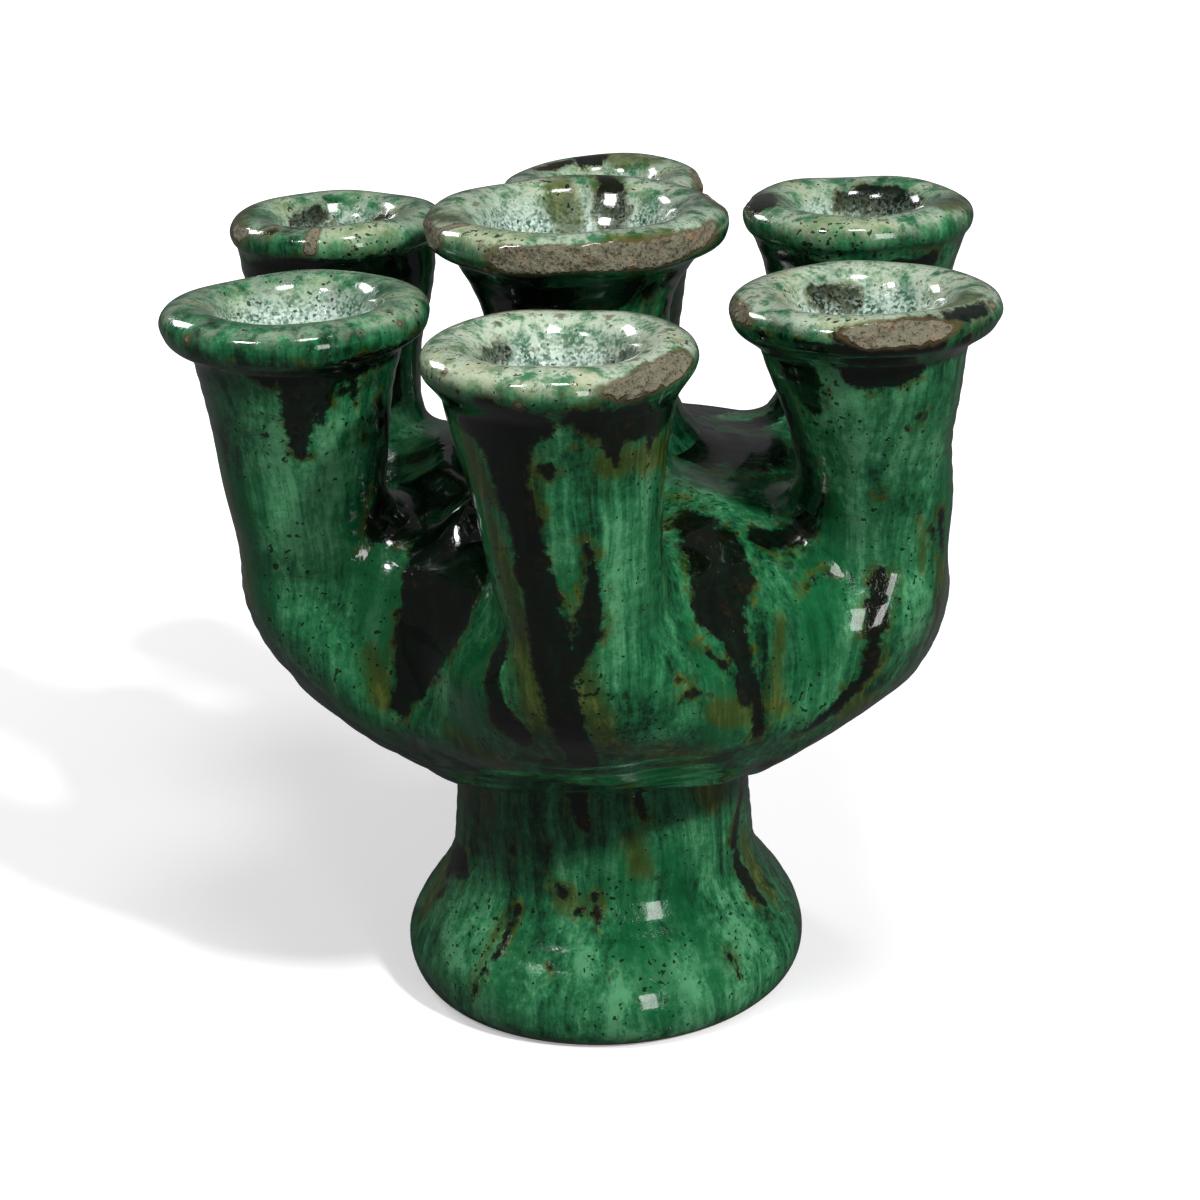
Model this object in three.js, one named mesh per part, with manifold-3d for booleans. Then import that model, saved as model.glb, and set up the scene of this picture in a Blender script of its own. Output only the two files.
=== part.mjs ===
// Hand-thrown multi-spout vase: a hollow foot, a round closed body made of two halves,
// six outer spouts standing on its edge and a wider, taller spout in the middle.
// Each part is thrown on its own and luted to the next one with a thin layer of slip.
// Millimetres, +Z up. The origin is on the floor, in the middle of the foot.
import * as THREE from 'three';
import { mergeVertices } from 'three/addons/utils/BufferGeometryUtils.js';
import Module from 'manifold-3d';

// Slip between two luted parts
const slipGap = 0.3;

// Foot: a hollow flared ring, open below and closed by the bowl's base above
const footHeight = 70;
const footNeckRadius = 37;
const footNeckTaper = 2;
const footRimRadius = 52.6;
const footRimHeight = 9;
const footStandRadius = 47.5;
const footFlareHeight = 38;
const footWall = 7;

// Body: two cushion-shaped halves that meet at the widest plane
const bodyRadius = 81;
const bodyAside = 2.5;
const bowlDepth = 28;
const bowlPower = 1.7;
const bowlFloor = 7;
const shoulderHeight = 45;
const shoulderPower = 3.3;
const bodyWall = 6.5;

// Outer spouts: lobed roots that swell from the body's side, a slender neck and a broad lip
const ringRadius = 77;
const spoutHeight = 96;
const neckRadius = 17.8;
const neckFlare = 6.8;
const neckFlareStart = 25;
const neckFlareEnd = 83;
const rootOverhang = 3.5;
const rootLength = 13;
const rootFlare = 6;
const rootFlareLength = 10;
const spoutBore = 11.5;
const lipRadius = 30.5;
const lipWidth = 12;
const lipThickness = 8;
const lipUnder = -60;
const lipInto = 190;
const mouthDepth = 22;

// What the hand left on each spout: where its neck and lip stand round the ring, and how
// much further out, wider and higher than the others they came out
const outerSpouts = [
  { name: 'spout_front', root: -87.8, lip: -90.4, reach: 0.6, neck: 1, mouth: -0.4, rise: -0.6 },
  { name: 'spout_front_right', root: -22, lip: -31, reach: 1, neck: -1, mouth: 0.4, rise: -0.3 },
  { name: 'spout_back_right', root: 31, lip: 30, reach: 1, neck: 0.4, mouth: -1, rise: 3 },
  { name: 'spout_back', root: 90, lip: 90, reach: 1.4, neck: 0, mouth: -3, rise: 1.9 },
  { name: 'spout_back_left', root: 150, lip: 150, reach: 0.2, neck: 0.2, mouth: -2.8, rise: 1.9 },
  { name: 'spout_front_left', root: -152.5, lip: -149, reach: -1.6, neck: 0, mouth: 0.9, rise: -1 },
];

// Centre spout: wider and taller, with the same broad lip
const centreHeight = 106.8;
const centreAside = -2.2;
const centreNeckRadius = 22.5;
const centreFlare = 8;
const centreFlareStart = 76;
const centreFlareEnd = 96;
const centreRootFlare = 15;
const centreRootLength = 9;
const centreBore = 15;
const centreLipRadius = 37.4;
const centreMouthDepth = 32;

// Facets: steps round each turned part and along its curves
const bodySegments = 48;
const footSegments = 40;
const spoutSegments = 16;
const centreSegments = 24;
const curveSteps = 7;
const edgeSteps = 3;
const neckSteps = 9;
const rollSteps = 7;
const mouthSteps = 3;

// Points nearer than this are one point
const weldDistance = 1e-4;

// Colours and roughness of the glaze
const glazeGreen = 0x3c7350;
const glazeDark = 0x2c5a42;
const footGreen = 0x356a4a;
const glazeRoughness = 0.2;
const footRoughness = 0.3;

const wasm = await Module();
wasm.setup();

// Heights that the parts share
const bodyPlane = footHeight + bowlDepth;

// The body was set down a little to one side of the foot, and the centre spout to the other
const bodyCentre = () => [bodyAside, 0];
const middleCentre = () => [centreAside, 0];

// A closed solid for joining and cutting, from a geometry
function toSolid(geometry) {
  const bare = geometry.clone();
  bare.deleteAttribute('normal');
  bare.deleteAttribute('uv');
  const merged = mergeVertices(bare, weldDistance);
  return new wasm.Manifold(new wasm.Mesh({
    numProp: 3,
    vertProperties: new Float32Array(merged.attributes.position.array),
    triVerts: new Uint32Array(merged.index.array),
  }));
}

// A geometry from a solid
function toGeometry(solid) {
  const mesh = solid.getMesh();
  const geometry = new THREE.BufferGeometry();
  geometry.setAttribute('position', new THREE.BufferAttribute(mesh.vertProperties, 3));
  geometry.setIndex(new THREE.BufferAttribute(mesh.triVerts, 1));
  geometry.computeVertexNormals();
  return geometry;
}

// Turns a profile of [radius, height] points about +Z. The centre of each level may be
// moved sideways, which bends the turned part as it rises
function turned(profile, segments, centreAt) {
  const points = profile.map(([radius, height]) => new THREE.Vector2(radius, height));
  const geometry = new THREE.LatheGeometry(points, segments);
  geometry.rotateX(Math.PI / 2);
  const position = geometry.attributes.position;
  for (let i = 0; i < position.count; i += 1) {
    const [x, y] = centreAt(position.getZ(i));
    position.setX(i, position.getX(i) + x);
    position.setY(i, position.getY(i) + y);
  }
  return toSolid(geometry);
}

function evenSteps(from, to, steps) {
  return Array.from({ length: steps + 1 }, (_, i) => from + ((to - from) * i) / steps);
}

// Quarter of a cushion outline, (r/radius)^power + (h/height)^power = 1, between two radii
function cushionCurve(radius, height, power, fromRadius, toRadius, steps) {
  const angleOf = (r) => Math.acos(Math.min(1, Math.pow(r / radius, power / 2)));
  return evenSteps(angleOf(fromRadius), angleOf(toRadius), steps).map((angle) => [
    radius * Math.pow(Math.max(0, Math.cos(angle)), 2 / power),
    height * Math.pow(Math.sin(angle), 2 / power),
  ]);
}

// Height of the bowl's full curve, so that it comes down onto the foot's neck
function bowlCurveHeight(depth, radius, baseRadius) {
  return depth / Math.pow(1 - Math.pow(baseRadius / radius, bowlPower), 1 / bowlPower);
}

// The foot narrows from its rim to its neck in an even S, then tapers a little to the top
function footOuterRadius(height) {
  const up = Math.min(1, Math.max(0, (height - footRimHeight) / (footFlareHeight - footRimHeight)));
  const above = Math.min(1, Math.max(0, (footHeight - height) / (footHeight - footFlareHeight)));
  const neck = footNeckRadius + footNeckTaper * above;
  return neck + ((footRimRadius - neck) * (1 + Math.cos(Math.PI * up))) / 2;
}

function makeFoot() {
  const top = footHeight - slipGap;
  const edge = evenSteps(0, 90, edgeSteps).map((degrees) => {
    const angle = THREE.MathUtils.degToRad(degrees);
    const radius = footStandRadius + (footRimRadius - footStandRadius) * Math.sin(angle);
    return [radius, footRimHeight * (1 - Math.cos(angle))];
  });
  const flare = evenSteps(footRimHeight, footFlareHeight, curveSteps).map((h) => [footOuterRadius(h), h]);
  const inner = flare.map(([radius, height]) => [radius - footWall, height]).reverse();
  return turned([
    ...edge,
    ...flare.slice(1),
    [footNeckRadius, top],
    [footNeckRadius - footWall, top],
    ...inner,
    [footStandRadius - footWall, 0],
    [footStandRadius, 0],
  ], footSegments, () => [0, 0]);
}

// Outer outline of the bowl, from its base up to the widest plane
function bowlOutline(grow) {
  const radius = bodyRadius + grow;
  const height = bowlCurveHeight(bowlDepth, bodyRadius, footNeckRadius) + grow;
  return cushionCurve(radius, height, bowlPower, footNeckRadius, radius, curveSteps)
    .map(([r, h]) => [r, bodyPlane - h]);
}

// Outer outline of the shoulder, from the widest plane up to the axis
function shoulderOutline(grow) {
  const radius = bodyRadius + grow;
  return cushionCurve(radius, shoulderHeight + grow, shoulderPower, radius, 0, curveSteps)
    .map(([r, h]) => [r, bodyPlane + h]);
}

function makeBowl() {
  const outer = bowlOutline(0);
  const seam = bodyPlane - slipGap / 2;
  outer[outer.length - 1] = [bodyRadius, seam];
  outer[0] = [footNeckRadius, footHeight];
  const innerRadius = bodyRadius - bodyWall;
  const inner = cushionCurve(innerRadius, bowlDepth - bowlFloor, bowlPower, innerRadius, 0, curveSteps)
    .map(([r, h]) => [r, bodyPlane - h]);
  inner[0] = [innerRadius, seam];
  return turned([[0, footHeight], ...outer, ...inner], bodySegments, bodyCentre);
}

function makeShoulder(bores) {
  const seam = bodyPlane + slipGap / 2;
  const outer = shoulderOutline(0);
  outer[0] = [bodyRadius, seam];
  const innerRadius = bodyRadius - bodyWall;
  const innerHeight = shoulderHeight - bodyWall;
  const inner = cushionCurve(innerRadius, innerHeight, shoulderPower, 0, innerRadius, curveSteps)
    .map(([r, h]) => [r, bodyPlane + h]);
  inner[inner.length - 1] = [innerRadius, seam];
  let shoulder = turned([...outer, ...inner, [bodyRadius, seam]], bodySegments, bodyCentre);
  for (const bore of bores) {
    shoulder = shoulder.subtract(bore);
  }
  return shoulder;
}

// The whole outside of the body with its slip, which every spout is cut to sit on
function bodyWithSlip() {
  const below = bowlOutline(slipGap);
  const outline = [[0, below[0][1]], ...below, ...shoulderOutline(slipGap).slice(1)];
  return turned(outline, bodySegments, bodyCentre);
}

// Radius of an outer spout's neck, at a height above the widest plane of the body
function neckRadiusAt(up, spout) {
  const root = rootFlare * Math.exp(-up / rootFlareLength);
  const opening = Math.max(0, (up - neckFlareStart) / (neckFlareEnd - neckFlareStart));
  return neckRadius + spout.neck + root + neckFlare * Math.pow(opening, 2);
}

// The outer flank climbs out of the body's side and turns upright on the ring, and the
// neck leans round the ring from where it was luted to where its lip ended up
function spoutCentre(spout) {
  const upright = ringRadius + spout.reach + neckRadius + spout.neck;
  const atPlane = bodyRadius + rootOverhang;
  return (height) => {
    const up = height - bodyPlane;
    const rooted = Math.exp(-up / rootLength);
    const flank = upright - (upright - atPlane) * rooted;
    const root = rootFlare * Math.exp(-up / rootFlareLength);
    const out = flank - root - neckRadius - spout.neck;
    const lean = THREE.MathUtils.smoothstep(up, 0, spoutHeight);
    const angle = THREE.MathUtils.degToRad(spout.root + (spout.lip - spout.root) * lean);
    return [out * Math.cos(angle) + bodyAside * Math.min(1, rooted), out * Math.sin(angle)];
  };
}

// A broad rounded lip: an arc from its underside, over the top and into the mouth, given
// by the angles it starts and ends at
function rolledLip(radius, top) {
  const middle = radius - lipWidth / 2;
  return evenSteps(lipUnder, lipInto, rollSteps).map((degrees) => {
    const angle = THREE.MathUtils.degToRad(degrees);
    const level = top - lipThickness / 2 + (lipThickness / 2) * Math.sin(angle);
    return [middle + (lipWidth / 2) * Math.cos(angle), level];
  });
}

// The mouth narrows from inside the lip down to the bore
function mouthCurve([fromRadius, fromHeight], bore, depth) {
  return evenSteps(0, 1, mouthSteps).slice(1).map((down) => [
    bore + (fromRadius - bore) * Math.pow(1 - down, 2),
    fromHeight - depth * down,
  ]);
}

// A spout's whole section: outside, lip, mouth and a bore that bends with the outside
function spoutProfile(outer, lip, bore, depth) {
  const mouth = mouthCurve(lip[lip.length - 1], bore, depth);
  const [, mouthBottom] = mouth[mouth.length - 1];
  const way = outer.filter(([, height]) => height < mouthBottom).map(([, height]) => [bore, height]);
  return [...outer, ...lip, ...mouth, ...way.reverse(), outer[0]];
}

function makeOuterSpout(spout) {
  const outer = evenSteps(-rootLength, neckFlareEnd, neckSteps + 1)
    .map((up) => [neckRadiusAt(up, spout), bodyPlane + up]);
  const lip = rolledLip(lipRadius + spout.mouth, bodyPlane + spoutHeight + spout.rise);
  return turned(spoutProfile(outer, lip, spoutBore, mouthDepth), spoutSegments, spoutCentre(spout));
}

function centreRadiusAt(up) {
  const root = centreRootFlare * Math.exp(-Math.max(0, up - shoulderHeight) / centreRootLength);
  const opening = Math.max(0, (up - centreFlareStart) / (centreFlareEnd - centreFlareStart));
  return centreNeckRadius + root + centreFlare * Math.pow(opening, 2);
}

function makeCentreSpout() {
  const outer = evenSteps(shoulderHeight - centreRootLength, centreFlareEnd, neckSteps)
    .map((up) => [centreRadiusAt(up), bodyPlane + up]);
  const lip = rolledLip(centreLipRadius, bodyPlane + centreHeight);
  return turned(spoutProfile(outer, lip, centreBore, centreMouthDepth), centreSegments, middleCentre);
}

// Water way from a spout's bore through the shoulder's wall
function boreThrough(radius, segments, centreAt) {
  const bottom = bodyPlane + slipGap;
  const top = bodyPlane + spoutHeight;
  return turned([
    [0, bottom],
    [radius, bottom],
    ...evenSteps(bottom, top, neckSteps).slice(1, -1).map((height) => [radius, height]),
    [radius, top],
    [0, top],
  ], segments, centreAt);
}

function named(name, solid, color, roughness) {
  const material = new THREE.MeshStandardMaterial({ color, roughness, metalness: 0 });
  const mesh = new THREE.Mesh(toGeometry(solid), material);
  mesh.name = name;
  return mesh;
}

const vase = new THREE.Group();
const body = bodyWithSlip();
const bores = outerSpouts.map((spout) => boreThrough(spoutBore, spoutSegments, spoutCentre(spout)));
bores.push(boreThrough(centreBore, centreSegments, middleCentre));

vase.add(named('foot', makeFoot(), footGreen, footRoughness));
vase.add(named('bowl', makeBowl(), glazeDark, glazeRoughness));
vase.add(named('shoulder', makeShoulder(bores), glazeDark, glazeRoughness));
vase.add(named('centre_spout', makeCentreSpout().subtract(body), glazeGreen, glazeRoughness));
for (const spout of outerSpouts) {
  vase.add(named(spout.name, makeOuterSpout(spout).subtract(body), glazeGreen, glazeRoughness));
}

export default vase;
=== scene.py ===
import math
import bpy
import numpy as np
from mathutils import Matrix, Vector


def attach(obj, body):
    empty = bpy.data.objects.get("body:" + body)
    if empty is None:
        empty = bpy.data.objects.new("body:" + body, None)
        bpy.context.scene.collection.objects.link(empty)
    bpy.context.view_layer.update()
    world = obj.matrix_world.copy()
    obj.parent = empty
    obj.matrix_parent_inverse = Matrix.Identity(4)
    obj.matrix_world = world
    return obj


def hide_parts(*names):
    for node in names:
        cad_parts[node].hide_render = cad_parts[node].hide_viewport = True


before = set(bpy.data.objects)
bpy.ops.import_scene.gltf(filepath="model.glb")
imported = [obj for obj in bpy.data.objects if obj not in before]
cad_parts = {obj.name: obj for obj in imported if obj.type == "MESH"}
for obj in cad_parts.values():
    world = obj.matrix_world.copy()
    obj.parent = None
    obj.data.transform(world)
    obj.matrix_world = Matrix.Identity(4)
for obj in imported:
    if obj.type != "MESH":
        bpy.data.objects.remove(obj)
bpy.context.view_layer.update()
print("frame loaded:", ", ".join(sorted(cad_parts)))

# All shapes are worked out in millimetres and written to the meshes in metres
metresPerMm = 0.001

# The body is two halves of superellipses that meet at its widest plane. It, the spouts and
# the foot have the same main sizes as the solid model
body = {
    "plane": 98.0,          # height of the widest circle
    "radius": 81.0,
    "aside": 2.5,           # the body sits a little to one side of its foot
    "bowlDepth": 28.0,
    "bowlPower": 1.7,
    "baseRadius": 37.0,
    "shoulderHeight": 45.0,
    "shoulderPower": 3.3,
    "wall": 6.5,
    "floor": 7.0,
    "jointFade": 8.0,       # the spouts' slip thins out this close to the joint with the foot
    "jointSlip": 0.3,       # and this much of it is left at the joint
    "boreGap": 2.5,
    "seam": 1.3,            # the bowl and shoulder share their normals this far past the plane
    "bowlRows": 44,
    "bowlSamples": 400,
    "bottomRows": 11,
    "shoulderRows": 96,
    "shoulderSamples": 800,
    "columns": 480,
}
# The bowl is cut off at its base. Whole, it would reach down by depth / (1 - (r/R)^p)^(1/p)
bowlCut = 1 - (body["baseRadius"] / body["radius"]) ** body["bowlPower"]
bowlHeight = body["bowlDepth"] / bowlCut ** (1 / body["bowlPower"])

# Uneven clay: broad lumps and the faint rings that the fingers leave while throwing
handMade = {"lump": 0.55, "lumpLength": 34.0, "ring": 0.10, "ringLength": 4.6}

# Places that a thumb pressed in or left proud: direction in degrees, height, spread in
# degrees and in mm, and how far the clay stands out
pressed = [
    (-121, 116, 14, 20, -6.0),
    (-121, 146, 9, 9, 5.0),
    (-55, 141, 12, 9, 4.0),
    (-55, 104, 12, 14, -1.5),
    (180, 118, 14, 20, -3.0),
    (120, 120, 14, 20, -3.0),
]


def lumps(points, length, seed, waves=9, peak=3.6):
    # A sum of sine waves in random directions, about -1 to 1, whose waves are `length` long
    rng = np.random.default_rng(seed)
    total = np.zeros(points.shape[:-1])
    for _ in range(waves):
        direction = rng.normal(size=3)
        direction *= 2 * math.pi / length * rng.uniform(0.7, 1.5) / np.linalg.norm(direction)
        total += np.sin(points @ direction + rng.uniform(0, 2 * math.pi))
    return total / peak


def eased(share):
    # A share from 0 to 1 with soft ends: 3 x^2 - 2 x^3
    return share * share * (3 - 2 * share)


def unevenness(points):
    # How far hand-thrown clay stands out: lumps, rings and the pressed places, each of them
    # a bump amount * exp(-(turn / wide)^2 - (height / tall)^2)
    rings = np.sin(2 * math.pi * points[..., 2] / handMade["ringLength"] + 1.6 * lumps(points, 60, 5))
    total = (handMade["lump"] * lumps(points, handMade["lumpLength"], 2)
             + handMade["ring"] * rings * (0.5 + 0.5 * lumps(points, 45, 8)))
    direction = np.degrees(np.arctan2(points[..., 1], points[..., 0]))
    for turn, height, wide, tall, amount in pressed:
        off = (direction - turn + 180) % 360 - 180
        total += amount * np.exp(-(off / wide) ** 2 - ((points[..., 2] - height) / tall) ** 2)
    return total


def bodyField(points):
    # Distance outside the body: (q - 1) / |slope of q|, where q is the superellipse's
    # ((r/R)^p + (h/H)^p)^(1/p). Also gives the direction straight away from the body
    x = points[..., 0] - body["aside"]
    y = points[..., 1]
    h = points[..., 2] - body["plane"]
    r = np.maximum(np.hypot(x, y), 1e-6)
    upper = h >= 0
    p = np.where(upper, body["shoulderPower"], body["bowlPower"])
    height = np.where(upper, body["shoulderHeight"], bowlHeight)
    rn = r / body["radius"]
    hn = np.maximum(np.abs(h) / height, 1e-9)
    q = (rn ** p + hn ** p) ** (1 / p)
    dr = (rn / q) ** (p - 1) / body["radius"]
    dh = (hn / q) ** (p - 1) / height * np.where(upper, 1, -1)
    slope = np.hypot(dr, dh)
    away = np.stack([dr * x / r, dr * y / r, dh], -1) / slope[..., None]
    return (q - 1) / slope, away


spoutShape = {
    "ring": 77.0,
    "height": 96.0,
    "neck": 17.8,
    "neckFlare": 6.8,
    "flareStart": 25.0,
    "flareEnd": 83.0,
    "overhang": 3.5,
    "rootDepth": 14.0,      # how far under the widest plane a root goes on
    "rootLength": 13.0,
    "rootSlope": 0.85,
    "rootFlare": 6.0,
    "rootFlareLength": 10.0,
    "bore": 11.5,
    "lip": 30.5,
    "mouthDepth": 22.0,
    "rows": 84,
    "columns": 176,
    "blend": 13.0,          # how far the slip was smoothed out round each root
}

# Where each outer spout was luted on (root) and where its lip ended up, in degrees, and how
# far its place, neck, lip and height differ from the others', in mm
outerSpouts = {
    "spout_front": {"root": -87.8, "lip": -90.4, "reach": 0.6, "neck": 1.0, "mouth": -0.4, "rise": -0.6},
    "spout_front_right": {"root": -22, "lip": -31, "reach": 1.0, "neck": -1.0, "mouth": 0.4, "rise": -0.3},
    "spout_back_right": {"root": 31, "lip": 30, "reach": 1.0, "neck": 0.4, "mouth": -1.0, "rise": 3.0},
    "spout_back": {"root": 90, "lip": 90, "reach": 1.4, "neck": 0.0, "mouth": -3.0, "rise": 1.9},
    "spout_back_left": {"root": 150, "lip": 150, "reach": 0.2, "neck": 0.2, "mouth": -2.8, "rise": 1.9},
    "spout_front_left": {"root": -152.5, "lip": -149, "reach": -1.6, "neck": 0, "mouth": 0.9, "rise": -1},
}

# The root of an outer spout widens below this height, like a leaf laid on the body
leaf = {"top": 130.0, "length": 18.0, "wider": 0.6}


def spoutLine(spout, z):
    # Centre and radius of an outer spout at a height, and how fast both change with it
    s = spoutShape
    up = z - body["plane"]
    upright = s["ring"] + spout["reach"] + s["neck"] + spout["neck"]
    # Under the widest plane the flank runs on inwards in a straight line
    rooted = np.exp(-np.maximum(up, 0) / s["rootLength"])
    rooted -= np.minimum(up, 0) / s["rootLength"] * s["rootSlope"]
    root = s["rootFlare"] * np.exp(-np.maximum(up, 0) / s["rootFlareLength"])
    flank = upright - (upright - body["radius"] - s["overhang"]) * rooted
    out = flank - root - s["neck"] - spout["neck"]
    lean = eased(np.clip(up / s["height"], 0, 1))
    angle = np.radians(spout["root"] + (spout["lip"] - spout["root"]) * lean)
    aside = body["aside"] * np.minimum(1, rooted)
    centre = np.stack([out * np.cos(angle) + aside, out * np.sin(angle)], -1)
    opening = np.maximum(0, (up - s["flareStart"]) / (s["flareEnd"] - s["flareStart"]))
    return centre, s["neck"] + spout["neck"] + root + s["neckFlare"] * opening ** 2


centreShape = {
    "height": 106.8,
    "aside": -2.2,
    "neck": 22.5,
    "flare": 8.0,
    "flareStart": 76.0,
    "flareEnd": 96.0,
    "rootFlare": 5.0,
    "rootLength": 9.0,
    "bore": 15.0,
    "lip": 37.4,
    "mouthDepth": 32.0,
    "rows": 56,
    "columns": 240,
    "blend": 20.0,
}


def centreLine(spout, z):
    # The same for the centre spout, which stands upright on the shoulder
    c = centreShape
    up = z - body["plane"]
    root = c["rootFlare"] * np.exp(-np.maximum(0, up - body["shoulderHeight"]) / c["rootLength"])
    opening = np.maximum(0, (up - c["flareStart"]) / (c["flareEnd"] - c["flareStart"]))
    centre = np.stack([np.full_like(up, c["aside"]), np.zeros_like(up)], -1)
    return centre, c["neck"] + root + c["flare"] * opening ** 2


def oval(spout, z):
    # The two axes of a tube's cross section, and how much wider it is than deep. A neck is
    # round, and widens sideways at the root of an outer spout
    angle = math.radians(spout["root"]) if spout else 0.0
    out = np.array([math.cos(angle), math.sin(angle)])
    low = np.clip((leaf["top"] - z) / leaf["length"], 0, 1)
    wider = 1 + (leaf["wider"] if spout else 0) * eased(low)
    return out, np.array([-out[1], out[0]]), wider


def ringAt(line, spout, radius, angle, z):
    # Points round a tube at the given heights. Angle 0 is its outward side
    centre, ownRadius = line(spout, z)
    radius = ownRadius if radius is None else radius + 0 * z
    out, across, wider = oval(spout, z)
    plan = (centre + (radius * np.cos(angle))[..., None] * out
            + (radius * wider * np.sin(angle))[..., None] * across)
    return np.concatenate([plan, z[..., None]], -1)


def tubeField(line, spout, points):
    # Distance outside a bent tube: gap to its oval at the same height, over the slope of
    # that gap. Well below the body's widest plane the tube has ended
    lowest = body["plane"] - spoutShape["rootDepth"]
    step = 0.5
    z = np.maximum(points[..., 2], lowest)
    centre, radius = line(spout, z)
    nextCentre, nextRadius = line(spout, z + step)
    offset = points[..., :2] - centre
    out, across, wider = oval(spout, z)
    outwards, sideways = offset @ out, offset @ across
    far = np.maximum(np.hypot(outwards, sideways / wider), 1e-6)
    side = (outwards / far)[..., None] * out + (sideways / far / wider ** 2)[..., None] * across
    slope = (((nextCentre - centre) * side).sum(-1) + (nextRadius - radius)) / step
    away = np.concatenate([side, -slope[..., None]], -1)
    length = np.linalg.norm(away, axis=-1)
    below = np.maximum(0, lowest - points[..., 2])
    return (far - radius) / length + below, away / length[..., None]


tubes = {name: (spoutLine, spout, spoutShape["blend"]) for name, spout in outerSpouts.items()}
tubes["centre_spout"] = (centreLine, None, centreShape["blend"])


def slipOver(ahead, reach):
    # Height of the smoothed slip where one surface lies `ahead` of the other: k/4 (1 - t/k)^2.
    # Past the seam it goes on with the same slope and then stays down, under the other surface
    near = reach / 4 * np.clip(1 - ahead / reach, 0, 1) ** 2
    sink = 0.35 * reach
    past = reach / 4 + sink / 2 * (1 - np.exp(np.minimum(ahead, 0) / sink))
    return np.where(ahead > 0, near, past)


def reachBetween(blend, awayA, awayB):
    # Slip fills the crease between two surfaces, and nothing where they run the same way
    same = (awayA * awayB).sum(-1)
    return blend * np.clip(1 - same, 0.1, 1) ** 0.7


def settle(points, away, gap, limits, steps=14):
    # Slides each point along its own direction by 0.6 of `gap` at a time, until that is nought
    slid = np.zeros(points.shape[:-1])
    for _ in range(steps):
        slid = np.clip(slid + 0.6 * gap(points + slid[..., None] * away), *limits)
    return points + slid[..., None] * away


def bodySkin(points):
    # Moves points of the bare body outwards, onto the skin that it shares with the spouts
    _, away = bodyField(points)

    def gap(moved):
        a, awayA = bodyField(moved)
        raised = unevenness(moved) - a
        slip = np.zeros_like(a)
        for line, spout, blend in tubes.values():
            b, awayB = tubeField(line, spout, moved)
            slip = np.maximum(slip, slipOver(b - a, reachBetween(blend, awayA, awayB)))
        return raised + slip

    return settle(points, away, gap, (-9, 9))


def tubeSkin(name, points, away):
    # The same for points of a bare spout
    line, spout, blend = tubes[name]

    def gap(moved):
        a, awayA = bodyField(moved)
        b, awayB = tubeField(line, spout, moved)
        slip = slipOver(a - b, reachBetween(blend, awayA, awayB))
        for other, (otherLine, otherSpout, otherBlend) in tubes.items():
            if other != name:
                c, awayC = tubeField(otherLine, otherSpout, moved)
                slip = np.maximum(slip, slipOver(c - b, reachBetween(min(blend, otherBlend), awayB, awayC)))
        return unevenness(moved) - b + slip

    return settle(points, away, gap, (-6, 12))


def gridNormals(points, wrapRows):
    # Square to both directions of a grid that is closed round its columns
    alongColumns = np.roll(points, -1, 1) - np.roll(points, 1, 1)
    if wrapRows:
        alongRows = np.roll(points, -1, 0) - np.roll(points, 1, 0)
    else:
        alongRows = np.gradient(points, axis=0)
    normals = np.cross(alongColumns, alongRows)
    return normals / np.maximum(np.linalg.norm(normals, axis=-1, keepdims=True), 1e-12)


def makeMesh(own, points, normals, quads, facts):
    # Joins points that coincide, as at a pole, drops what is not used, and keeps the
    # normals of the true surface so that neighbouring pieces shade as one
    name = "thrown" + "".join(word.capitalize() for word in own.split("_"))
    used, where = np.unique(quads, return_inverse=True)
    _, first, joined = np.unique(np.round(points[used], 4), axis=0, return_index=True, return_inverse=True)
    quads = joined.reshape(-1)[where.reshape(quads.shape)]
    points, normals = points[used[first]], normals[used[first]]
    same = quads == np.roll(quads, -1, axis=1)
    loops = quads[~same]
    sizes = 4 - same.sum(1)
    keep = sizes > 2
    loops = loops[np.repeat(keep, sizes)]
    sizes = sizes[keep]
    mesh = bpy.data.meshes.new(name)
    mesh.vertices.add(len(points))
    mesh.vertices.foreach_set("co", (points * metresPerMm).astype(np.float32).ravel())
    mesh.loops.add(len(loops))
    mesh.loops.foreach_set("vertex_index", loops.astype(np.int32))
    mesh.polygons.add(len(sizes))
    mesh.polygons.foreach_set("loop_start", np.concatenate([[0], np.cumsum(sizes)[:-1]]).astype(np.int32))
    mesh.polygons.foreach_set("use_smooth", np.ones(len(sizes), bool))
    mesh.update(calc_edges=True)
    mesh.validate()
    for key, value in facts.items():
        attribute = mesh.attributes.new(key, "FLOAT", "POINT")
        attribute.data.foreach_set("value", value[used[first]].astype(np.float32))
    mesh.normals_split_custom_set_from_vertices([tuple(n) for n in normals])
    piece = bpy.data.objects.new(name, mesh)
    bpy.context.scene.collection.objects.link(piece)
    return piece


def shellQuads(rows, columns, holes=None):
    # Quads of an outer and an inner grid of the same size, closed round the columns, with
    # the cells in `holes` cut out and every edge between outside and inside walled up
    index = np.arange(rows * columns).reshape(rows, columns)
    nextColumn = np.roll(index, -1, 1)
    kept = np.ones((rows - 1, columns), bool) if holes is None else ~holes
    inner = rows * columns
    corners = (index[:-1], nextColumn[:-1], nextColumn[1:], index[1:])
    quads = [np.stack([c[kept] for c in corners], 1), np.stack([c[kept] for c in corners[::-1]], 1) + inner]
    none = np.zeros((1, columns), bool)
    below, above = np.vstack([none, kept[:-1]]), np.vstack([kept[1:], none])
    before, after = np.roll(kept, 1, 1), np.roll(kept, -1, 1)
    for first, beside in ((0, below), (2, above), (1, after), (3, before)):
        edge = kept & ~beside
        p, q = corners[first][edge], corners[(first + 1) % 4][edge]
        quads.append(np.stack([q, p, p + inner, q + inner], 1))
    return np.vstack(quads)


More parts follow.
